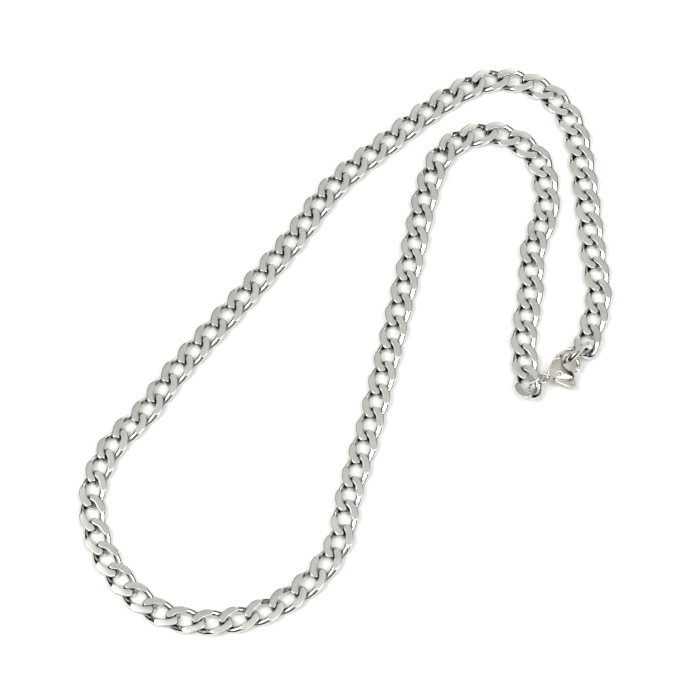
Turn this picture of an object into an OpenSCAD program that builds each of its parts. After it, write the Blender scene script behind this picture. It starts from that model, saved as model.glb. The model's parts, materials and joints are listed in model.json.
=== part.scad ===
// Curb chain necklace, lying closed on a flat surface with its lobster clasp fastened.
// Millimetres, +Z up, z = 0 is the surface that it rests on, origin at the middle of its outline.
// Each link is a wire oval twisted from end to end and ground flat on both faces.

/* [Chain] */
// Outside length of one link
link_l = 10.4; // [9.8:0.1:11]
// Outside width of one link
link_w = 7; // [6.8:0.1:7.8]
// Diameter of the chain's wire before its faces are ground
wire_d = 1.7; // [1.4:0.05:1.75]
// Thickness of the chain over its two ground faces
chain_t = 2.2; // [1.8:0.1:2.6]
// Twist of a link at each end, in degrees from its middle
link_twist = 50; // [46:1:54]
// Squareness of the link's oval, 2 being an ellipse
link_square = 2.6; // [2.5:0.1:3]
// Play between the wires of two neighbouring links
link_play = 0.15; // [0.1:0.05:0.3]

/* [Lobster clasp] */
// Distance from the eyelet's centre to the centre of the claw's opening
clasp_reach = 8.4; // [8:0.1:9]
// Thickness of the clasp's body at its middle
clasp_t = 3.2; // [2.8:0.1:3.4]
// Width of the body across its shoulders
clasp_w = 7.2; // [6.8:0.1:7.6]
// Hole of the eyelet
eyelet_hole = 1.7; // [1.5:0.1:2]
// Wire of the eyelet
eyelet_wire = 0.8; // [0.6:0.1:1]
// Opening of the claw
claw_hole = 3.8; // [3.6:0.1:4]
// Width of the claw's arm, seen from above
arm_w = 1.1; // [0.9:0.1:1.4]
// Thickness of the claw's arm
arm_t = 1.6; // [1.4:0.1:2]

/* [Trigger] */
// Thickness of the trigger's plate
trigger_t = 0.9; // [0.7:0.1:1.2]
// Clearance of the plate in its slot, on each side
slot_gap = 0.12; // [0.1:0.02:0.2]
// Width of the gate that closes the claw
gate_w = 1.1; // [0.9:0.1:1.3]
// Space between the gate's end and the claw's tip
gate_gap = 0.15; // [0.1:0.05:0.3]
// Breadth of the thumb tab
tab_w = 2; // [1.4:0.1:2.2]
// Thickness of the thumb tab
tab_t = 0.7; // [0.5:0.1:0.9]
// Diameter of the hinge pin
pin_d = 0.8; // [0.6:0.1:1]
// Radial clearance of the pin in the trigger
pin_gap = 0.05; // [0.03:0.01:0.08]

/* [Jump ring] */
// Outside diameter of the jump ring
ring_od = 5.7; // [5.4:0.1:6]
// Wire of the jump ring
ring_wire = 0.8; // [0.7:0.05:0.9]

/* [Hidden] */
$fn = 48;
steel = "silver";
steel_dark = "darkgray";

// Route of the chain's middle line, x and y, chosen by eye along the necklace from the clasp's hook to
// its last link; the first and last points only steer the ends
ROUTE = [
  [62, -14], [63, -0.5], [66, 13], [65, 26.5], [63, 52], [60, 67], [52, 77], [39, 79.5], [26.5, 73.5],
  [11, 60.5], [-4, 46.5], [-15.5, 29.5], [-28, 13], [-45, -8.5], [-53, -20.5], [-61.5, -30.5],
  [-66, -43], [-64.5, -56], [-58, -68], [-47.5, -77], [-34, -79.5], [-20.5, -76], [-9.5, -68],
  [-2.5, -57], [0, -44.5], [7, -18], [16, 22], [22, 49], [29, 60], [41, 62.5], [51, 54.5],
  [53, 40], [49, 27], [48, 14], [46, 0.5], [47, -13], [51, -21]
];
// Steps of the route between two of its points
ROUTE_STEPS = 12;
// Links draw closer on a bend: square millimetres that multiply the curvature's square
BEND_DRAW = 9;
// Rings along a link's wire and corners round it
LINK_RINGS = 14;
LINK_SIDES = 6;
// Corners gather at a ground face by this many degrees, and lean by these at its edges
CORNER_GATHER = 25;
CORNER_LEAN = 20;

// The clasp and its ring lift the links at the chain's two ends: shift from the place on the route, then
// turns about X and Y and further turn about Z
FIRST_SHIFT = [-0.28, 0.13, 0.49];
FIRST_TURN = [-1, 5.6, -3.7];
LAST_SHIFT = [-0.33, 0.25, 0.9];
LAST_TURN = [8.9, -9, -0.6];
// Link that hangs in the claw: its middle, then its turns about X, Y and Z
HOOKED_AT = [58.91, -4.15, 2.69];
HOOKED_TURN = [-48, -21.6, 17.4];
// Clasp: middle of its claw's opening, then its turns about X, Y and Z
CLAW_AT = [57.64, -7.58, 2.58];
CLASP_TURN = [14.8, 7.8, 33.3];
// Jump ring: its middle as seen from the eyelet's, then its turns about X, Y and Z
RING_OFFSET = [-1.79, -1.33, -0.85];
RING_TURN = [87.6, 0, 33.3];

// Points of a spline through four neighbouring points, t from 0 to 1 between the middle two
function spline(a, b, c, d, t) =
  0.5 * (2 * b + (c - a) * t + (2 * a - 5 * b + 4 * c - d) * t * t + (3 * b - a - 3 * c + d) * t * t * t);
route = [
  for (i = [1 : len(ROUTE) - 3], k = [0 : ROUTE_STEPS - 1])
    spline(ROUTE[i - 1], ROUTE[i], ROUTE[i + 1], ROUTE[i + 2], k / ROUTE_STEPS),
  ROUTE[len(ROUTE) - 2]
];
steps = [for (i = [1 : len(route) - 1]) route[i] - route[i - 1]];

// Turn between two steps, in degrees, and the curvature there
function turn(a, b) = atan2(a.x * b.y - a.y * b.x, a * b);
function curvature(i) =
  let (j = min(max(i, 1), len(steps) - 1))
  turn(steps[j - 1], steps[j]) * PI / 180 / norm(steps[j]);

// Length of each step as the links see it, and its running sum
stretched = [for (i = [0 : len(steps) - 1]) norm(steps[i]) * (1 + BEND_DRAW * pow(curvature(i), 2))];
function running_sum(v) = [for (i = 0, s = 0; i <= len(v); s = s + (i < len(v) ? v[i] : 0), i = i + 1) s];
reach = running_sum(stretched);
reach_x = [for (i = [0 : len(route) - 1]) [reach[i], route[i].x]];
reach_y = [for (i = [0 : len(route) - 1]) [reach[i], route[i].y]];
function route_at(s) = [lookup(s, reach_x), lookup(s, reach_y)];
function route_heading(s) =
  let (d = route_at(s + 1) - route_at(s - 1))
  atan2(d.y, d.x);

// Links: their pitch, their number and the share of them in the first node
link_pitch = link_l - 2 * wire_d - link_play;
link_count = round(reach[len(reach) - 1] / link_pitch) + 1;
outer_count = floor(link_count / 2) + 1;
function link_reach(i) = i * reach[len(reach) - 1] / (link_count - 1);

// Middle line of a link's wire: an oval turned about its length, more towards each end
half_l = (link_l - wire_d) / 2;
half_w = (link_w - wire_d) / 2;
function oval(t) = pow(pow(abs(cos(t)), link_square) + pow(abs(sin(t)), link_square), -1 / link_square);
function wire_at(t) =
  let (x = half_l * oval(t) * cos(t), y = half_w * oval(t) * sin(t), turned = link_twist * x / half_l)
  [x, y * cos(turned), -y * sin(turned)];
wire_rise = max([for (t = [0 : 359]) wire_at(t).z]);

// Corners of the wire's section at t, ground flat at half the chain's thickness
corner_r = wire_d / 2;
function clamp(v, low, high) = min(max(v, low), high);
function unit(v) = v / norm(v);
function corner_angles(rise) =
  let (up = clamp(rise, 0, 1), down = clamp(-rise, 0, 1))
  [
    60 - CORNER_GATHER * up, 120 + CORNER_GATHER * up, 180 + CORNER_LEAN * rise,
    240 - CORNER_GATHER * down, 300 + CORNER_GATHER * down, 360 - CORNER_LEAN * rise
  ];
function section(t) =
  let (
    c = wire_at(t),
    along = unit(wire_at(t + 0.1) - wire_at(t - 0.1)),
    side = unit(cross(along, [0, 0, 1])),
    up = cross(side, along)
  )
  [
    for (a = corner_angles(c.z / wire_rise))
      let (p = c + corner_r * (cos(a) * side + sin(a) * up))
      [p.x, p.y, clamp(p.z, -chain_t / 2, chain_t / 2)]
  ];
link_points = [for (i = [0 : LINK_RINGS - 1]) each section(i * 360 / LINK_RINGS)];

// Skin of one link, its points starting at index first
function link_faces(first) = [
  for (i = [0 : LINK_RINGS - 1], j = [0 : LINK_SIDES - 1])
    let (
      next_ring = (i + 1) % LINK_RINGS,
      next_side = (j + 1) % LINK_SIDES,
      a = first + i * LINK_SIDES + j,
      b = first + i * LINK_SIDES + next_side,
      c = first + next_ring * LINK_SIDES + next_side,
      d = first + next_ring * LINK_SIDES + j
    )
    each [[a, b, c], [a, c, d]]
];

// Points turned about X, then Y, then Z, and moved
function about_x(p, a) = [p.x, p.y * cos(a) - p.z * sin(a), p.y * sin(a) + p.z * cos(a)];
function about_y(p, a) = [p.x * cos(a) + p.z * sin(a), p.y, -p.x * sin(a) + p.z * cos(a)];
function about_z(p, a) = [p.x * cos(a) - p.y * sin(a), p.x * sin(a) + p.y * cos(a), p.z];
function placed(points, at, turns) =
  [for (p = points) about_z(about_y(about_x(p, turns.x), turns.y), turns.z) + at];

// Link number i of the chain, lying on its ground face unless the clasp or its ring lifts it
function chain_link(i) =
  let (
    s = link_reach(i),
    p = route_at(s),
    shift = i == 0 ? FIRST_SHIFT : i == link_count - 1 ? LAST_SHIFT : [0, 0, 0],
    turns = i == 0 ? FIRST_TURN : i == link_count - 1 ? LAST_TURN : [0, 0, 0]
  )
  placed(link_points, [p.x, p.y, chain_t / 2] + shift, turns + [0, 0, route_heading(s)]);

// Links as closed skins side by side in one solid
module linked(links) {
  points = [for (l = links) each l];
  faces = [for (k = [0 : len(links) - 1]) each link_faces(k * len(link_points))];
  polyhedron(points = points, faces = faces);
}

// Chain from the link in the claw to the middle of the necklace
module curb_chain_outer() {
  hooked = placed(link_points, HOOKED_AT, HOOKED_TURN);
  color(steel) linked([hooked, for (i = [0 : outer_count - 1]) chain_link(i)]);
}

// Chain from the middle of the necklace to its last link, which holds the jump ring
module curb_chain_inner() {
  color(steel) linked([for (i = [outer_count : link_count - 1]) chain_link(i)]);
}

// Outline round a set of circles [x, y, r], given counter-clockwise, as a belt would lie
function belt_normal(a, b) =
  let (d = [b.x - a.x, b.y - a.y])
  atan2(d.y, d.x) - acos((a[2] - b[2]) / norm(d));
function belt(circles, arc_steps = 8) = [
  for (i = [0 : len(circles) - 1])
    let (
      c = circles[i],
      from = belt_normal(circles[(i + len(circles) - 1) % len(circles)], c),
      to = belt_normal(c, circles[(i + 1) % len(circles)]),
      sweep = (to - from + 720) % 360
    )
    for (k = [0 : arc_steps])
      let (a = from + sweep * k / arc_steps)
      [c.x + c[2] * cos(a), c.y + c[2] * sin(a)]
];

// Places in the clasp's own plane: origin at the eyelet, X to the claw, trigger on the -Y side
eyelet_r = eyelet_hole / 2 + eyelet_wire / 2;
claw_r = claw_hole / 2 + arm_w / 2;
claw = [clasp_reach, 0];
ARM_SIDE = 3.1;
tail_r = 1.1;
tail = [eyelet_r + tail_r, 0, tail_r];
arm_shoulder_r = 1.4;
arm_shoulder = [clasp_reach - 3.0, ARM_SIDE - arm_shoulder_r, arm_shoulder_r];
trigger_shoulder_r = 1.2;
trigger_shoulder = [clasp_reach - 1.8, ARM_SIDE - clasp_w + trigger_shoulder_r, trigger_shoulder_r];
TIP_ANGLE = -60;
ARM_ROOT_ANGLE = 130;
ARM_CHAMFER = 0.35;
OPENING_STEP = 0.15;
claw_tip = claw + claw_r * [cos(TIP_ANGLE), sin(TIP_ANGLE)];
pivot = [clasp_reach - 4.4, -1.1];
pin_fit = 0.02;
trigger_eye_r = 1;
slot_top = 0.15;
slot_start = tail.x;
body_middle = clasp_reach - 4;
edge_t = 1.6;
tail_t = 1.7;
pin_l = 2 * edge_t - 0.4;

// Radius of a dome that falls by sag at half_chord from its top
function dome_r(half_chord, sag) = (pow(half_chord, 2) + pow(sag, 2)) / (2 * sag);

// Long cylinder along X that touches the clasp's upper or lower face from within
module dome(r, side) {
  translate([0, 0, side * (r - clasp_t / 2)]) rotate([0, 90, 0]) cylinder(r = r, h = 6 * clasp_w, center = true);
}

// Common space of two such cylinders: a lens of the clasp's thickness
module lens(r) {
  intersection() {
    dome(r, 1);
    dome(r, -1);
  }
}

// Body of the clasp: a fan with domed faces, cut out for the claw's opening and for the trigger
module body_fan() {
  sag = (clasp_t - edge_t) / 2;
  tail_sag = (clasp_t - tail_t) / 2;
  intersection() {
    linear_extrude(height = clasp_t, center = true) polygon(belt([tail, trigger_shoulder, arm_shoulder]));
    translate([0, ARM_SIDE - clasp_w / 2, 0]) lens(dome_r(clasp_w / 2, sag));
    translate([body_middle, 0, 0]) rotate([0, 0, 90]) lens(dome_r(body_middle - eyelet_r, tail_sag));
  }
}

// Arm's section: a band with chamfered edges
module arm_section() {
  u = arm_w / 2;
  v = arm_t / 2;
  c = ARM_CHAMFER;
  polygon([
    [u, v - c], [u - c, v], [c - u, v], [-u, v - c], [-u, c - v], [c - u, -v], [u - c, -v], [u, c - v]
  ]);
}

module claw_arm() {
  translate(claw) rotate([0, 0, TIP_ANGLE]) rotate_extrude(angle = ARM_ROOT_ANGLE - TIP_ANGLE)
    translate([claw_r, 0]) arm_section();
  // Round end of the tip, a little fuller than the arm
  translate(claw_tip) cylinder(d = arm_w + 0.1, h = arm_t - 2 * ARM_CHAMFER, center = true);
}

module trigger_slot() {
  slot_t = trigger_t + 2 * slot_gap;
  linear_extrude(height = slot_t, center = true) polygon([
    [slot_start, -clasp_w], [slot_start, pivot.y + trigger_eye_r / 2], [pivot.x - trigger_eye_r, slot_top],
    [claw.x, slot_top], [claw.x, -clasp_w]
  ]);
}

module lobster_clasp_shape() {
  difference() {
    union() {
      difference() {
        body_fan();
        translate(claw) cylinder(d = claw_hole + 2 * OPENING_STEP, h = 2 * clasp_t, center = true);
      }
      claw_arm();
      rotate_extrude() translate([eyelet_r, 0]) circle(d = eyelet_wire);
    }
    trigger_slot();
    translate(pivot) cylinder(d = pin_d + 2 * pin_fit, h = 2 * clasp_t, center = true);
  }
}

// Trigger: an eye on the pin, a gate that closes the claw, and a tab that stands out below the body
gate_reach = norm(claw_tip - pivot) - arm_w / 2 - gate_gap;
gate_root = [claw.x + claw_r * cos(250), claw.y + claw_r * sin(250), gate_w / 2];
trigger_eye = [pivot.x, pivot.y, trigger_eye_r];
tab_root = [tail.x + 0.4, pivot.y - 1, 0.35];
tab_inner = [trigger_shoulder.x + 0.4, trigger_shoulder.y - 1.85, 0.35];
tab_outer = [trigger_shoulder.x - 0.75, trigger_shoulder.y - 2.95, tab_t / 2 + 0.05];
pad_start = [tab_outer.x - 0.6, tab_outer.y + 0.7, tab_t / 2];

module trigger_plate() {
  linear_extrude(height = trigger_t, center = true) {
    polygon(belt([trigger_eye, gate_root]));
    polygon(belt([trigger_eye, tab_root, tab_outer, tab_inner]));
    intersection() {
      translate(pivot) circle(r = gate_reach);
      translate(claw) difference() {
        circle(r = claw_r + gate_w / 2);
        circle(r = claw_r - gate_w / 2);
      }
      translate([gate_root.x, claw.y - 2 * claw_r]) square(2 * [claw_r, claw_r] - [0, claw_r]);
    }
  }
}

// Pad for the thumb on the tab's end, broader than the plate
module thumb_pad() {
  intersection() {
    linear_extrude(height = tab_w, center = true) polygon(belt([pad_start, tab_outer]));
    rotate([90, 0, 0]) linear_extrude(height = 4 * clasp_w, center = true) polygon([
      [pad_start.x - tab_t, -trigger_t / 2], [tab_outer.x, -tab_w / 2], [tab_outer.x + tab_t, -tab_w / 2],
      [tab_outer.x + tab_t, tab_w / 2], [tab_outer.x, tab_w / 2], [pad_start.x - tab_t, trigger_t / 2]
    ]);
  }
}

// Place of a point of the clasp's plane, and of the eyelet
function clasp_at(p) = placed([[p.x - claw.x, p.y - claw.y, 0]], CLAW_AT, CLASP_TURN)[0];
eyelet_at = clasp_at([0, 0]);

module in_clasp_place() {
  translate(eyelet_at) rotate(CLASP_TURN) children();
}

module lobster_clasp() {
  color(steel) in_clasp_place() lobster_clasp_shape();
}

module clasp_trigger() {
  color(steel) in_clasp_place() difference() {
    union() {
      trigger_plate();
      thumb_pad();
    }
    translate(pivot) cylinder(d = pin_d + 2 * pin_gap, h = 2 * trigger_t, center = true);
  }
}

module clasp_pin() {
  color(steel_dark) in_clasp_place() translate(pivot) cylinder(d = pin_d, h = pin_l, center = true);
}

module jump_ring() {
  color(steel) translate(eyelet_at + RING_OFFSET) rotate(RING_TURN)
    rotate_extrude() translate([(ring_od - ring_wire) / 2, 0]) circle(d = ring_wire);
}

curb_chain_outer();
curb_chain_inner();
lobster_clasp();
clasp_trigger();
clasp_pin();
jump_ring();
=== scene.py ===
# %% [markdown]
# # A curb chain necklace on a white table
# The necklace is a steel curb chain, seven millimetres wide, that lies in a folded loop. Its two ends
# meet at a lobster clasp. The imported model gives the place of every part, and this lesson gives each one
# the skin, the finish and the light of the real thing. Sizes are in millimetres, and become metres when a
# mesh is made. The few that are in metres from the start have names that end in _M.

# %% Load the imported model
import json
import bmesh
import bpy
import numpy as np
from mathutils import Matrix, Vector
from mathutils.bvhtree import BVHTree


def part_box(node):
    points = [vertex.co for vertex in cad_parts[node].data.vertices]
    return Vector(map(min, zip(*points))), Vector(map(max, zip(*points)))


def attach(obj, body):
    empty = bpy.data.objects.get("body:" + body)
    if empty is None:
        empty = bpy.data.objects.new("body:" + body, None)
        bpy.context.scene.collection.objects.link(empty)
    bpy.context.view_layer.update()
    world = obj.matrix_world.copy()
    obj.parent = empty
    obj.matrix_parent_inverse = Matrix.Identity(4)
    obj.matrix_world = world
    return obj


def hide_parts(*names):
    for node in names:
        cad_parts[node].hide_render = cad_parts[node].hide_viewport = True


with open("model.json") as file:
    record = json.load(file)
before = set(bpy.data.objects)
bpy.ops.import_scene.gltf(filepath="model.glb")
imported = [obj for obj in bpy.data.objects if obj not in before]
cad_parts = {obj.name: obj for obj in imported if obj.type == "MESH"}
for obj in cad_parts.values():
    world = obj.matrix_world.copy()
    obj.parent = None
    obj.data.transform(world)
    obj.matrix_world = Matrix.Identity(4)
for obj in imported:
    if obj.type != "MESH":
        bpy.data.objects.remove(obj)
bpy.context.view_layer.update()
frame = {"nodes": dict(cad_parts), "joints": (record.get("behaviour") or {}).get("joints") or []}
MM = 0.001

# %% [markdown]
# ## The camera
# The photograph is taken from well above with a long lens, so the far end of the loop is hardly smaller
# than the near end. The angle and the lens were worked out from how the links shrink and lean.

# %% Camera at the photograph's angle
ELEVATION = 63.73
LENS_MM = 176.9
FILM_MM = 36
CAMERA_AT_M = (0.0002216, -0.402826, 0.81191)
NEAREST_M = 0.01
lens = bpy.data.cameras.new("camera")
lens.sensor_width = FILM_MM
lens.lens = LENS_MM
lens.clip_start = NEAREST_M
camera = bpy.data.objects.new("camera", lens)
camera.location = CAMERA_AT_M
camera.rotation_euler = (np.radians(90 - ELEVATION), 0, 0)
bpy.context.scene.collection.objects.link(camera)
bpy.context.scene.camera = camera
print("the camera is", round(float(np.linalg.norm(CAMERA_AT_M)), 2), "m away,", ELEVATION, "degrees up")

# %% [markdown]
# ## Helpers for meshes
# A tube is a grid: one direction goes along the wire and the other goes round it. Both directions close
# on themselves, so the grid has no seam and no end. Each face lists its corners in the order that makes
# it point outwards. A mesh can also carry numbers of its own at each point, for its material to read.

# %% Turn and skin
def turned(points, turns):
    """Points turned about X, then about Y, then about Z, by three angles in degrees."""
    (a, b, c), (d, e, f) = np.cos(np.radians(turns)), np.sin(np.radians(turns))
    about_x = np.array([[1, 0, 0], [0, a, -d], [0, d, a]])
    about_y = np.array([[b, 0, e], [0, 1, 0], [-e, 0, b]])
    about_z = np.array([[c, -f, 0], [f, c, 0], [0, 0, 1]])
    return points @ (about_z @ about_y @ about_x).T


def tube_faces(rings, corners):
    """Faces (i, j), (i+1, j), (i+1, j+1), (i, j+1) of a closed tube, where both numbers go all round."""
    i, j = np.meshgrid(np.arange(rings), np.arange(corners), indexing="ij")
    here, onward = i * corners, (i + 1) % rings * corners
    beside = (j + 1) % corners
    return np.stack([here + j, onward + j, onward + beside, here + beside], -1).reshape(-1, 4)

# %% Make a piece
def shade_smooth(mesh):
    """Soft shading over every face."""
    mesh.polygons.foreach_set("use_smooth", np.ones(len(mesh.polygons), bool))


def new_piece(name, points_mm, faces):
    """Object at the origin with a smooth mesh, its place in its points."""
    mesh = bpy.data.meshes.new(name)
    mesh.from_pydata((points_mm * MM).tolist(), [], faces)
    shade_smooth(mesh)
    mesh.update()
    piece = bpy.data.objects.new(name, mesh)
    bpy.context.scene.collection.objects.link(piece)
    print(name, "has", sum(len(p.vertices) - 2 for p in mesh.polygons), "triangles")
    return piece


def give_numbers(piece, name, values):
    """Attribute of a mesh: one number at each point, or three."""
    kind, field = ("FLOAT_VECTOR", "vector") if values.ndim == 2 else ("FLOAT", "value")
    piece.data.attributes.new(name, kind, "POINT").data.foreach_set(field, values.ravel())

# %% [markdown]
# ## One link
# A curb link starts as an oval of round wire. It is twisted from end to end so that it lies flat in its
# neighbours, and then both faces of the chain are ground level. Grinding leaves the long pale facets that
# make a curb chain shine. A bevelled curve would give the round wire without its facets, and cutting it
# with a block would leave ragged edges on all 86 links. So the skin is worked out as a grid, in which the
# cut is part of the formula. The ground faces are very slightly domed across the chain.

# %% Sizes of a link
LINK_LENGTH = 10.7
LINK_WIDTH = 7.1
WIRE = 1.95
CHAIN_THICKNESS = 2.2
DOME = 0.34  # fall of the ground face from the chain's middle line to its edge
TWIST = 50  # degrees, one way at one end of the link and the other way at the other
SQUARENESS = 2.6  # 2 is an ellipse, more is squarer
EDGE_SOFTNESS = 0.04
RINGS = 84

# %% Middle line of the wire
FINE_STEPS = 4001


def wire_line(t):
    """Oval r = (|cos t|^n + |sin t|^n)^(-1/n), stretched to the link, and turned by twist x / half."""
    r = (np.abs(np.cos(t)) ** SQUARENESS + np.abs(np.sin(t)) ** SQUARENESS) ** (-1 / SQUARENESS)
    half = (LINK_LENGTH - WIRE) / 2
    x, y = half * r * np.cos(t), (LINK_WIDTH - WIRE) / 2 * r * np.sin(t)
    turn = np.radians(TWIST) * x / half
    return np.stack([x, y * np.cos(turn), -y * np.sin(turn)], -1)


def even_steps(count):
    """Values of t that divide the wire into equal lengths, read off its running length."""
    t = np.linspace(0, 2 * np.pi, FINE_STEPS)
    length = np.concatenate([[0], np.cumsum(np.linalg.norm(np.diff(wire_line(t), axis=0), axis=1))])
    return np.interp(np.arange(count) / count * length[-1], length, t)

# %% [markdown]
# The corners of each section aren't spread evenly. Two of them sit exactly on the edges of each ground
# face, wherever those are, and others just inside and just outside, so the facet keeps a clean outline.
# The cut itself is a soft minimum, which leaves the edge slightly round, as tumbling does to real links.

# %% The cut of the ground faces
ALMOST_UP = np.cos(np.radians(2))  # where a face misses the wire, its two edges nearly meet at the top
CUT_ROUNDS = 8


def soft_minimum(z, limit):
    """z below the limit and the limit above it: limit - s log(1 + exp((limit - z) / s))."""
    return limit - EDGE_SOFTNESS * np.logaddexp(0, (limit - z) / EDGE_SOFTNESS)


def cut_height(y):
    """Height of the ground face: half thickness - dome (y / half width)^2, a flat arch over the chain."""
    return CHAIN_THICKNESS / 2 - DOME * (y / (LINK_WIDTH / 2)) ** 2


def cut_angle(line, side, up, face):
    """Angle at which the round wire meets the cut, asin((cut - z) / (r up)), found in a few rounds."""
    angle = np.zeros(len(line))
    for _ in range(CUT_ROUNDS):
        y = line[:, 1] + WIRE / 2 * (np.cos(angle) * side[:, 1] + face * np.sin(angle) * up[:, 1])
        rise = (cut_height(y) - face * line[:, 2]) / (WIRE / 2 * up[:, 2])
        angle = np.arcsin(np.clip(rise, -1, ALMOST_UP))
    return angle

# %% Skin of the link
GROUND_MM = 0.1  # metal that has to go before a point counts as wholly ground
SMALL_STEP = 1e-3
FACE_SHARES = np.array([0, 0.05, 0.28, 0.5, 0.72, 0.95, 1])  # of the angle from edge to edge of a face
SIDE_SHARES = np.array([0.07, 0.25, 0.42, 0.58, 0.75, 0.93])  # of the angle from one face to the other


def link_skin():
    """c(t) + r (cos a side + sin a up), then cut above and below at the height of the ground faces."""
    t = even_steps(RINGS)
    line = wire_line(t)
    along = wire_line(t + SMALL_STEP) - wire_line(t - SMALL_STEP)
    along /= np.linalg.norm(along, axis=1)[:, None]
    side = np.cross(along, [0, 0, 1.0])
    side /= np.linalg.norm(side, axis=1)[:, None]
    up = np.cross(side, along)
    corners = [cut_angle(line, side, up, 1), np.pi - cut_angle(line, -side, up, 1),
               np.pi + cut_angle(line, -side, up, -1), 2 * np.pi - cut_angle(line, side, up, -1)]
    corners.append(corners[0] + 2 * np.pi)
    angles = np.concatenate([
        corners[k][:, None] + (corners[k + 1] - corners[k])[:, None] * shares
        for k, shares in enumerate((FACE_SHARES, SIDE_SHARES, FACE_SHARES, SIDE_SHARES))], axis=1)
    skin = line[:, None] + WIRE / 2 * (np.cos(angles)[..., None] * side[:, None]
                                       + np.sin(angles)[..., None] * up[:, None])
    cut = cut_height(skin[..., 1])
    ground = np.clip((np.abs(skin[..., 2]) - cut) / GROUND_MM, 0, 1)
    skin[..., 2] = -soft_minimum(-soft_minimum(skin[..., 2], cut), cut)
    return skin, ground


skin, ground = link_skin()
LINK_FACES = tube_faces(*ground.shape)
LINK, GROUND = skin.reshape(-1, 3), ground.ravel()
print("one link:", LINK.min(0).round(2), "to", LINK.max(0).round(2), "with", len(LINK_FACES), "faces")

# %% [markdown]
# ## The route of the chain
# The links lie along a smooth curve through a few points of the necklace. On a bend they sit a little
# closer together, because the outer wires come into contact first. The running length is stretched by
# the square of the curvature to allow for that, and then shared out equally.

# %% Route and running length
ROUTE = np.array([
    [62, -14], [63, -0.5], [66, 13], [65, 26.5], [63, 52], [60, 67], [52, 77], [39, 79.5], [26.5, 73.5],
    [11, 60.5], [-4, 46.5], [-15.5, 29.5], [-28, 13], [-45, -8.5], [-53, -20.5], [-61.5, -30.5],
    [-66, -43], [-64.5, -56], [-58, -68], [-47.5, -77], [-34, -79.5], [-20.5, -76], [-9.5, -68],
    [-2.5, -57], [0, -44.5], [7, -18], [16, 22], [22, 49], [29, 60], [41, 62.5], [51, 54.5],
    [53, 40], [49, 27], [48, 14], [46, 0.5], [47, -13], [51, -21]])
ROUTE_STEPS = 12
BEND_DRAW = 9  # square millimetres, fitted to the links' spacing in the bends
LINKS = 85
OUTER_LINKS = 43


def spline(points):
    """0.5 (2b + (c-a) t + (2a-5b+4c-d) t^2 + (3b-a-3c+d) t^3) between b and c, for each four in a row."""
    a, b, c, d = (points[k:len(points) - 3 + k, None] for k in range(4))
    t = (np.arange(ROUTE_STEPS) / ROUTE_STEPS)[None, :, None]
    inner_points = 0.5 * (2 * b + (c - a) * t + (2 * a - 5 * b + 4 * c - d) * t ** 2
                          + (3 * b - a - 3 * c + d) * t ** 3)
    return np.vstack([inner_points.reshape(-1, 2), points[-2:-1]])


curve = spline(ROUTE)
steps = np.diff(curve, axis=0)
lengths = np.linalg.norm(steps, axis=1)
before, after = steps[:-1], steps[1:]
bend = np.arctan2(before[:, 0] * after[:, 1] - before[:, 1] * after[:, 0], (before * after).sum(1))
curvature = bend / lengths[:-1]
curvature = np.concatenate([curvature[:1], curvature])
running = np.concatenate([[0], np.cumsum(lengths * (1 + BEND_DRAW * curvature ** 2))])
print("the chain's middle line is", round(lengths.sum(), 1), "mm long")

# %% Places and headings of the links
HEADING_STEP = 1


def at_length(s):
    """Point of the route at a running length."""
    return np.stack([np.interp(s, running, curve[:, k]) for k in (0, 1)], -1)


stations = np.arange(LINKS) * running[-1] / (LINKS - 1)
ahead = at_length(stations + HEADING_STEP) - at_length(stations - HEADING_STEP)
places = np.column_stack([at_length(stations), np.full(LINKS, CHAIN_THICKNESS / 2)])
turns = np.column_stack([np.zeros((LINKS, 2)), np.degrees(np.arctan2(ahead[:, 1], ahead[:, 0]))])
print(LINKS, "links lie", round(running[-1] / (LINKS - 1), 2), "mm apart on the straight")

# %% [markdown]
# The clasp holds the ends of the chain a little above the table. The first link and the last one are
# lifted and tipped by it, and one more link hangs in the claw. That one is a trace smaller, which leaves
# it a little room there.

# %% Links lifted by the clasp
FIRST_MOVED, FIRST_TIPPED = [-0.28, 0.13, 0.49], [-1, 5.6, -3.7]
LAST_MOVED, LAST_TIPPED = [-0.33, 0.25, 0.9], [8.9, -9, -0.6]
HOOKED_AT, HOOKED_TURN = [58.91, -4.15, 2.69], [-48, -21.6, 17.4]
HOOKED_SIZE = 0.985
places[0] += FIRST_MOVED
turns[0] += FIRST_TIPPED
places[-1] += LAST_MOVED
turns[-1] += LAST_TIPPED
places = np.vstack([[HOOKED_AT], places])
turns = np.vstack([[HOOKED_TURN], turns])
sizes = np.ones(len(places))
sizes[0] = HOOKED_SIZE

# %% [markdown]
# Narrow gaps where two links touch lie in shade, and that shade is painted into the colour of the links.
# Each point of a link gets
# a number for that: one where it touches a neighbour, and next to nothing a millimetre and a half away.
# The ground faces get much less of this painted shade, so there the number is much smaller.

# %% Painted shade where the links touch
GAP_MM = 0.65
# the ground faces lose most of the painted shade of the gaps
FACET_SHADE_LOSS = 0.75  # share of the dark that the ground faces lose
LINE = wire_line(even_steps(2 * RINGS))


def link_points(k):
    """Skin of link k in its place: the link's own points times its size, turned and moved."""
    return turned(LINK * sizes[k], turns[k]) + places[k]


def touching(k):
    """Painted shade: exp(-(d / gap)^2) (1 - loss on ground faces), where d is how far off the neighbours'
    wires are.
    """
    points = link_points(k)
    nearest = np.full(len(points), np.inf)
    for other in range(max(k - 1, 0), min(k + 2, len(places))):
        if other != k:
            line = turned(LINE, turns[other]) + places[other]
            square = (points ** 2).sum(1)[:, None] + (line ** 2).sum(1) - 2 * points @ line.T
            nearest = np.minimum(nearest, np.sqrt(square.min(1)) - WIRE / 2)
    return np.exp(-(np.maximum(nearest, 0) / GAP_MM) ** 2) * (1 - FACET_SHADE_LOSS * GROUND)

# %% [markdown]
# All links of a node go into one mesh. Each point also keeps its place in its own link, so that a pattern
# follows the link and not the table. Every link's places are moved a tenth of a metre on from the last
# one's, and so no two links show the same patch of a pattern.

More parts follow.
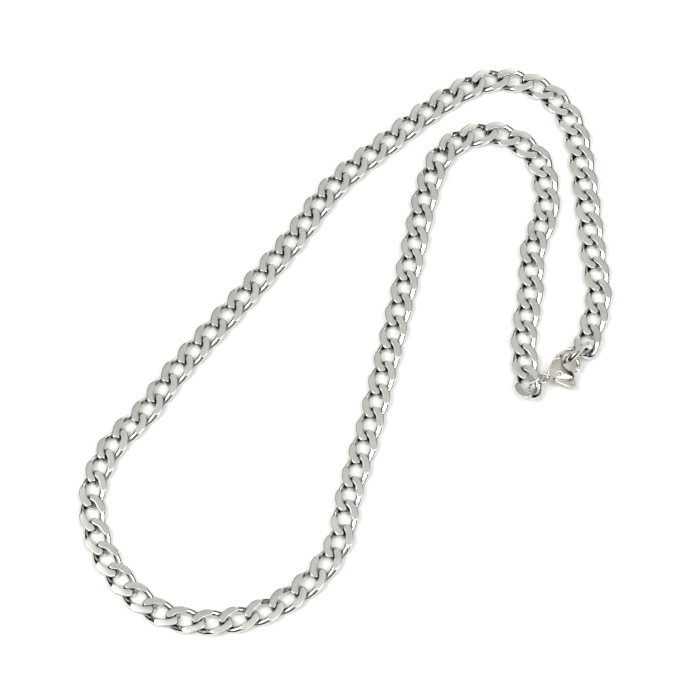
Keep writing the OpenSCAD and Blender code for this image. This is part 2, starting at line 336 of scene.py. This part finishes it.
# %% Many links in one mesh
OWN_STEP_M = 0.1


def chain_piece(name, first, last):
    """Copies of the link's skin, each turned and moved to its place, in one mesh with its numbers."""
    chosen = range(first, last)
    points = np.concatenate([link_points(k) for k in chosen])
    faces = np.concatenate([LINK_FACES + k * len(LINK) for k in range(len(chosen))])
    piece = new_piece(name, points, faces.tolist())
    give_numbers(piece, "own_place", np.concatenate([LINK * MM + [0, 0, OWN_STEP_M * k] for k in chosen]))
    give_numbers(piece, "touching", np.concatenate([touching(k) for k in chosen]))
    give_numbers(piece, "ground", np.tile(GROUND, len(chosen)))
    return piece


outer = chain_piece("chain_outer_links", 0, OUTER_LINKS + 1)
inner = chain_piece("chain_inner_links", OUTER_LINKS + 1, LINKS + 1)

# %% [markdown]
# ## Materials
# All of it is stainless steel, and only its surface differs. The wire was tumbled until it was bright.
# The facets were ground on a belt, which leaves fine scratches along the chain and a satin sheen. The
# clasp is a polished casting, so it is smooth but slightly wavy. Colours are given as sRGB hex codes.

# %% Colour and node helpers
def colour(hex_code):
    """Linear value of each channel: c / 12.92 when small, else ((c + 0.055) / 1.055) ^ 2.4."""
    c = np.array([int(hex_code[k:k + 2], 16) for k in (1, 3, 5)]) / 255
    return (*np.where(c <= 0.04045, c / 12.92, ((c + 0.055) / 1.055) ** 2.4).tolist(), 1.0)


def set_sockets(material, node, inputs):
    """Each named socket of a node, set to a value or linked to another node's socket."""
    for name, value in inputs.items():
        if isinstance(value, bpy.types.NodeSocket):
            material.node_tree.links.new(value, node.inputs[name])
        else:
            node.inputs[name].default_value = value


def add_node(material, kind, inputs=None, **settings):
    """Node of this kind with its settings and its sockets."""
    node = material.node_tree.nodes.new(kind)
    for name, value in settings.items():
        setattr(node, name, value)
    set_sockets(material, node, inputs or {})
    return node


def new_metal(name, hex_code, roughness):
    """Bare metal: a Principled shader, fully metallic, with its default refraction."""
    material = bpy.data.materials.new(name)
    material.use_nodes = True
    shader = material.node_tree.nodes["Principled BSDF"]
    set_sockets(material, shader, {"Metallic": 1, "Base Color": colour(hex_code), "Roughness": roughness})
    print("finish", name, hex_code)
    return material, shader

# %% [markdown]
# Tumbled wire is bright but not a mirror. Handling leaves patches that are a little duller, a few
# millimetres across, and the wire keeps faint ripples from drawing. The facets were ground with a belt,
# whose scratches are finer than a pixel here, so they are drawn a quarter of a millimetre apart, along
# the chain. All of these are noises with their own sizes. The scratches read places that are squeezed
# along the chain, so their patches come out long and thin.

# %% Patterns on the links
WIRE_HEX = "#DCDBD7"
links_steel, links_shader = new_metal("stainless_steel_tumbled_and_ground", WIRE_HEX, 0.16)
own, was_ground, touch = (
    add_node(links_steel, "ShaderNodeAttribute", attribute_name=name).outputs[socket]
    for name, socket in (("own_place", "Vector"), ("ground", "Fac"), ("touching", "Fac")))
SCRATCH_MM = 0.25
SCRATCH_SQUEEZE = (0.06, 1, 1)
TONE_MM = 9
PATCH_MM = 2.5
RIPPLE_MM = 0.9
squeezed = add_node(links_steel, "ShaderNodeMapping", {"Vector": own, "Scale": SCRATCH_SQUEEZE})
scratches, tones, patches, ripples = (
    add_node(links_steel, "ShaderNodeTexNoise", {"Vector": place, "Scale": 1 / (size * MM),
                                                 "Detail": detail, "Roughness": rough}).outputs["Fac"]
    for place, size, detail, rough in (
        (squeezed.outputs["Vector"], SCRATCH_MM, 4, 0.7), (own, TONE_MM, 1, 0.5),
        (own, PATCH_MM, 3, 0.5), (own, RIPPLE_MM, 2, 0.5)))

# %% [markdown]
# The number that tells how much was ground away blends one finish into the other: the bright colour of
# the wire into the satin of the facets, the low roughness into the higher one, and the ripples into the
# scratches. No two links were ground alike, so a slow noise also evens out the satin of some. Last comes
# the painted shade of the gaps.

# %% Steel of the links
NOISE_SPAN = {"From Min": 0.3, "From Max": 0.7}  # nearly all of a noise lies in it
SATIN_DARK, SATIN_PALE, SATIN_EVEN = "#B9B8B2", "#DCDBD6", "#D6D5CF"
# painted shade: the colour that the gaps between links are darkened to
GAP_SHADE_HEX = "#1A1917"
WIRE_DULL, SATIN_DULL = {"To Min": 0.07, "To Max": 0.17}, {"To Min": 0.28, "To Max": 0.42}
BUMP_STRENGTH = 0.3
SCRATCH_DEPTH_MM = 0.02
evenness, wire_dull, satin_dull = (
    add_node(links_steel, "ShaderNodeMapRange", {"Value": noise, **NOISE_SPAN, **span}).outputs["Result"]
    for noise, span in ((tones, {}), (patches, WIRE_DULL), (scratches, SATIN_DULL)))
dull, relief = (
    add_node(links_steel, "ShaderNodeMapRange",
             {"Value": was_ground, "To Min": wire, "To Max": satin}).outputs["Result"]
    for wire, satin in ((wire_dull, satin_dull), (ripples, scratches)))
satin = add_node(links_steel, "ShaderNodeMixRGB",
                 {"Fac": scratches, "Color1": colour(SATIN_DARK), "Color2": colour(SATIN_PALE)})
satin = add_node(links_steel, "ShaderNodeMixRGB",
                 {"Fac": evenness, "Color1": satin.outputs["Color"], "Color2": colour(SATIN_EVEN)})
bare = add_node(links_steel, "ShaderNodeMixRGB",
                {"Fac": was_ground, "Color1": colour(WIRE_HEX), "Color2": satin.outputs["Color"]})
# painted shade: the colour goes dark where the links touch
gap_shaded = add_node(links_steel, "ShaderNodeMixRGB",
                   {"Fac": touch, "Color1": bare.outputs["Color"], "Color2": colour(GAP_SHADE_HEX)})
bump = add_node(links_steel, "ShaderNodeBump",
                {"Height": relief, "Strength": BUMP_STRENGTH, "Distance": SCRATCH_DEPTH_MM * MM})
set_sockets(links_steel, links_shader, {"Base Color": gap_shaded.outputs["Color"], "Roughness": dull,
                                        "Normal": bump.outputs["Normal"]})
for piece in (outer, inner):
    piece.data.materials.append(links_steel)

# %% [markdown]
# A polished casting keeps a soft waviness from its mould, a couple of millimetres from crest to crest,
# and fine wear marks. It is slightly warmer than the wire.

# %% Polished cast steel
CAST_HEX = "#D5D1C7"
WAVE_MM = 2.2
WAVE_DEPTH_MM = 0.1
WEAR_MM = 0.4
CAST_DULL = {"From Min": 0.35, "From Max": 0.75, "To Min": 0.12, "To Max": 0.26}
cast, cast_shader = new_metal("stainless_steel_cast_polished", CAST_HEX, 0.12)
here = add_node(cast, "ShaderNodeTexCoord").outputs["Object"]
waves, wear = (
    add_node(cast, "ShaderNodeTexNoise",
             {"Vector": here, "Scale": 1 / (size * MM), "Detail": detail}).outputs["Fac"]
    for size, detail in ((WAVE_MM, 1), (WEAR_MM, 4)))
bump = add_node(cast, "ShaderNodeBump",
                {"Height": waves, "Strength": BUMP_STRENGTH, "Distance": WAVE_DEPTH_MM * MM})
dull = add_node(cast, "ShaderNodeMapRange", {"Value": wear, **CAST_DULL})
set_sockets(cast, cast_shader, {"Normal": bump.outputs["Normal"], "Roughness": dull.outputs["Result"]})

# %% [markdown]
# ## The clasp and its lever
# The clasp is cast in one piece: the eyelet, the domed body and the hooked claw run into one another
# with soft edges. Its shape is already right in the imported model, but its edges are as sharp as a
# drawing. A bevel would trip over the many small faces where the parts meet. So a copy is laid over with
# an even net, and the net is relaxed, which rounds every edge by a tenth or two of a millimetre. That is
# how a cast and polished edge looks.

# %% Round the edges of a casting
MERGE_MM = 0.001
HALF_WAY = 0.5


def cast_skin(node, name, net_mm, relaxations):
    """Even net over a solid, then each point moved half way to its neighbours' mean, several times."""
    piece = bpy.data.objects.new(name, frame["nodes"][node].data.copy())
    piece.data.name = name
    bpy.context.scene.collection.objects.link(piece)
    piece.data.materials.clear()
    work = bmesh.new()
    work.from_mesh(piece.data)
    bmesh.ops.remove_doubles(work, verts=work.verts, dist=MERGE_MM * MM)
    work.to_mesh(piece.data)
    work.free()
    net = piece.modifiers.new("net", "REMESH")
    net.mode, net.voxel_size = "VOXEL", net_mm * MM
    relax = piece.modifiers.new("relax", "SMOOTH")
    relax.factor, relax.iterations = HALF_WAY, relaxations
    finished = bpy.data.meshes.new_from_object(piece.evaluated_get(bpy.context.evaluated_depsgraph_get()))
    piece.modifiers.clear()
    piece.data = finished
    shade_smooth(finished)
    print(name, "has", 2 * len(finished.polygons), "triangles")
    return piece


clasp = cast_skin("lobster_clasp", "clasp_casting", net_mm=0.065, relaxations=36)
lever = cast_skin("clasp_trigger", "clasp_lever", net_mm=0.05, relaxations=24)
for piece in (clasp, lever):
    piece.data.materials.append(cast)

# %% [markdown]
# ## The hinge pin
# The lever turns on a short pin whose ends are pressed flush. Its place and its direction are those of
# the joint. It is turned on a lathe: a profile, carried round the axis, with a flat face over each end.

# %% Pin
PIN_RADIUS = 0.4
PIN_HALF = 1.4
PROFILE_OUT = PIN_RADIUS * np.array([0.3, 0.75, 0.95, 1, 1, 0.95, 0.75, 0.3])
PROFILE_ALONG = PIN_HALF * np.array([-1, -0.985, -0.94, -0.85, 0.85, 0.94, 0.985, 1])
TURN_STEPS = 32  # faces round the pin
hinge = frame["joints"][0]
axis = np.array(hinge["axis"])
across = np.cross(axis, [1.0, 0, 0])
across /= np.linalg.norm(across)
angle = np.arange(TURN_STEPS)[:, None] * 2 * np.pi / TURN_STEPS
spokes = np.cos(angle) * across + np.sin(angle) * np.cross(axis, across)
rod = (np.array(hinge["pos_m"]) / MM + PROFILE_ALONG[:, None, None] * axis
       + PROFILE_OUT[:, None, None] * spokes)
last_ring = (len(PROFILE_OUT) - 1) * TURN_STEPS
side_faces = tube_faces(len(PROFILE_OUT), TURN_STEPS)[:last_ring].tolist()
end_faces = [list(range(start, start + TURN_STEPS)) for start in (0, last_ring)]
pin = new_piece("hinge_pin", rod.reshape(-1, 3), side_faces + end_faces)
work = bmesh.new()
work.from_mesh(pin.data)
bmesh.ops.recalc_face_normals(work, faces=work.faces)
work.to_mesh(pin.data)
work.free()

# %% [markdown]
# ## The jump ring
# A jump ring is a turn of wire whose cut ends are closed against each other. The cut shows as a fine
# groove, so the wire is a little thinner there. A torus has no such groove, and its rings are spread
# evenly. Here they gather at the cut, where the groove needs them.

# %% Ring
RING_RADIUS = 2.45
RING_WIRE = 0.4
RING_TURN = [87.6, 0, 33.3]
RING_STEPS = 180
RING_CORNERS = 28
CUT_AT = np.radians(200)
CUT_WIDTH = 0.05
CUT_DEPTH = 0.16
GATHERED = 0.75


def ring_skin():
    """(R + w cos a) round the ring, w sin a above it, the wire w thinner by a bell curve at the cut."""
    u = np.arange(RING_STEPS)[:, None] * 2 * np.pi / RING_STEPS
    u = u + GATHERED * np.sin(CUT_AT - u)
    a = np.arange(RING_CORNERS)[None] * 2 * np.pi / RING_CORNERS
    away = (np.mod(u - CUT_AT + np.pi, 2 * np.pi) - np.pi) * RING_RADIUS
    wire = RING_WIRE * (1 - CUT_DEPTH * np.exp(-(away / CUT_WIDTH) ** 2))
    out = RING_RADIUS + wire * np.cos(a)
    return np.stack([out * np.cos(u), out * np.sin(u), wire * np.sin(a) + 0 * u], -1)


ring_low, ring_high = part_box("jump_ring")
ring_middle = (np.array(ring_low) + np.array(ring_high)) / 2 / MM
jump_ring = new_piece("closed_jump_ring", turned(ring_skin().reshape(-1, 3), RING_TURN) + ring_middle,
                      tube_faces(RING_STEPS, RING_CORNERS).tolist())

# %% [markdown]
# ## Painted shade in the recesses
# Shade falls into the slot, behind the lever and inside the eyelet, and here it is painted into the
# colour, so the metal is darker there. Each point looks round in sixteen directions that are spread evenly
# over the half space outside the metal. The share of them that meets metal close by tells how hidden the
# point is.

# %% How hidden each point is
SIGHT_MM = 1.6
LOOKS = 16
START_MM = 0.03  # a look starts just off the surface, so that it doesn't meet its own face


def spread_directions(count):
    """Even points on a ball: z in equal steps, turned by the golden angle each time."""
    k = np.arange(count) + 0.5
    z, turn = 1 - 2 * k / count, np.pi * (1 + 5 ** 0.5) * k
    r = np.sqrt(1 - z ** 2)
    return np.stack([r * np.cos(turn), r * np.sin(turn), z], -1)


metal = bmesh.new()
for piece in (clasp, lever, jump_ring):
    metal.from_mesh(piece.data)
tree = BVHTree.FromBMesh(metal)
metal.free()
for piece in (clasp, lever, jump_ring):
    count = len(piece.data.vertices)
    points, normals = np.empty(count * 3), np.empty(count * 3)
    piece.data.vertices.foreach_get("co", points)
    piece.data.vertices.foreach_get("normal", normals)
    points, normals = points.reshape(-1, 3), normals.reshape(-1, 3)
    starts = (points + normals * START_MM * MM).tolist()
    hidden = np.zeros(count)
    for look in spread_directions(LOOKS):
        outward = (look * np.sign(normals @ look)[:, None]).tolist()
        hidden += [tree.ray_cast(Vector(start), Vector(way), SIGHT_MM * MM)[0] is not None
                   for start, way in zip(starts, outward)]
    give_numbers(piece, "hidden", hidden / LOOKS)
    print(piece.name, "is hidden by", round(float(hidden.mean() / LOOKS), 2), "on average")

# %% Painted shade in the recesses
# colour of the painted shade in the recesses
RECESS_SHADE_HEX = "#23221F"
RECESS_SPAN = {"From Min": 0.15, "From Max": 0.75, "To Min": 0, "To Max": 0.9}


def paint_recess_shade(material, shader, hex_code):
    """Painted shade: bare colour where a point is open, dark where three quarters of its looks are
    stopped.
    """
    hidden = add_node(material, "ShaderNodeAttribute", attribute_name="hidden").outputs["Fac"]
    share = add_node(material, "ShaderNodeMapRange", {"Value": hidden, **RECESS_SPAN}).outputs["Result"]
    tone = add_node(material, "ShaderNodeMixRGB",
                    {"Fac": share, "Color1": colour(hex_code), "Color2": colour(RECESS_SHADE_HEX)})
    set_sockets(material, shader, {"Base Color": tone.outputs["Color"]})


# painted shade in the hidden places of the clasp and the lever
paint_recess_shade(cast, cast_shader, CAST_HEX)

# %% [markdown]
# The pin and the ring are drawn wire, bright like the links. Nothing about them follows a path, so their
# wear reads the object's coordinates.

# %% Drawn steel wire
DRAWN_HEX = "#D6D5D0"
DRAWN_WEAR_MM = 0.7
DRAWN_DULL = {**NOISE_SPAN, "To Min": 0.12, "To Max": 0.26}
drawn, drawn_shader = new_metal("stainless_steel_drawn", DRAWN_HEX, 0.18)
here = add_node(drawn, "ShaderNodeTexCoord").outputs["Object"]
wear = add_node(drawn, "ShaderNodeTexNoise",
                {"Vector": here, "Scale": 1 / (DRAWN_WEAR_MM * MM), "Detail": 3})
dull = add_node(drawn, "ShaderNodeMapRange", {"Value": wear.outputs["Fac"], **DRAWN_DULL})
set_sockets(drawn, drawn_shader, {"Roughness": dull.outputs["Result"]})
# the ring gets the same painted shade in its hidden places
paint_recess_shade(drawn, drawn_shader, DRAWN_HEX)
pin.data.materials.append(drawn)
jump_ring.data.materials.append(drawn)

# %% [markdown]
# ## What moves, and what each piece stands for
# Only the lever moves. Everything else belongs to the necklace.

# %% Bodies
for piece, node, body in ((outer, "curb_chain_outer", "necklace"), (inner, "curb_chain_inner", "necklace"),
                          (clasp, "lobster_clasp", "necklace"), (pin, "clasp_pin", "necklace"),
                          (jump_ring, "jump_ring", "necklace"), (lever, "clasp_trigger", "trigger")):
    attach(piece, body)
    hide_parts(node)

# %% [markdown]
# ## Table and light
# The necklace lies on a seamless white table. Bright metal shows its surroundings more than itself, so
# the light matters as much as the finish. The room is pale overhead, which gives the facets their even
# tone, and dark towards the horizon, which draws the thin dark lines along the wire. Three broad soft
# lamps add the highlights.

# %% Table
TABLE_HALF_M = 4
TABLE_DROP_MM = 0.02  # the lowest facets lie at height zero, and the table must not cross them
table = new_piece("table", np.array([[-1, -1, 0], [1, -1, 0], [1, 1, 0], [-1, 1, 0]]) * TABLE_HALF_M / MM,
                  [(0, 1, 2, 3)])
table.location.z = -TABLE_DROP_MM * MM
paper = bpy.data.materials.new("white_paper")
paper.use_nodes = True
set_sockets(paper, paper.node_tree.nodes["Principled BSDF"],
            {"Base Color": colour("#F6F6F5"), "Roughness": 0.8})
table.data.materials.append(paper)

# %% Room
HORIZON_HEX, HORIZON_AT = "#0C0C0C", 0.36
OVERHEAD_HEX, OVERHEAD_AT = "#E8E8E6", 0.85
room = bpy.data.worlds.new("room")
room.use_nodes = True
bpy.context.scene.world = room
direction = add_node(room, "ShaderNodeTexCoord").outputs["Generated"]
split = add_node(room, "ShaderNodeSeparateXYZ", {"Vector": direction})
ramp = add_node(room, "ShaderNodeValToRGB", {"Fac": split.outputs["Z"]})
low, high = ramp.color_ramp.elements
low.color, low.position = colour(HORIZON_HEX), HORIZON_AT
high.color, high.position = colour(OVERHEAD_HEX), OVERHEAD_AT
set_sockets(room, room.node_tree.nodes["Background"], {"Color": ramp.outputs["Color"], "Strength": 1})

# %% Lamps
LAMPS = (("lamp_left", (-0.5, -0.15, 0.7), 0.5, 4.4),
         ("lamp_right", (0.45, -0.3, 0.65), 0.5, 3.4),
         ("lamp_back", (0.1, 0.75, 0.35), 0.4, 1.2))


def soft_lamp(name, place_m, width_m, watts):
    """Square lamp that faces the middle of the necklace."""
    lamp = bpy.data.lights.new(name, "AREA")
    lamp.size, lamp.energy = width_m, watts
    item = bpy.data.objects.new(name, lamp)
    item.location = place_m
    target = -np.array(place_m) / np.linalg.norm(place_m)
    item.rotation_euler = (np.arccos(-target[2]), 0, np.arctan2(target[1], target[0]) - np.pi / 2)
    bpy.context.scene.collection.objects.link(item)
    print(name, "gives", watts, "W from", place_m)


for lamp in LAMPS:
    soft_lamp(*lamp)
bpy.context.scene.view_settings.view_transform = "Standard"
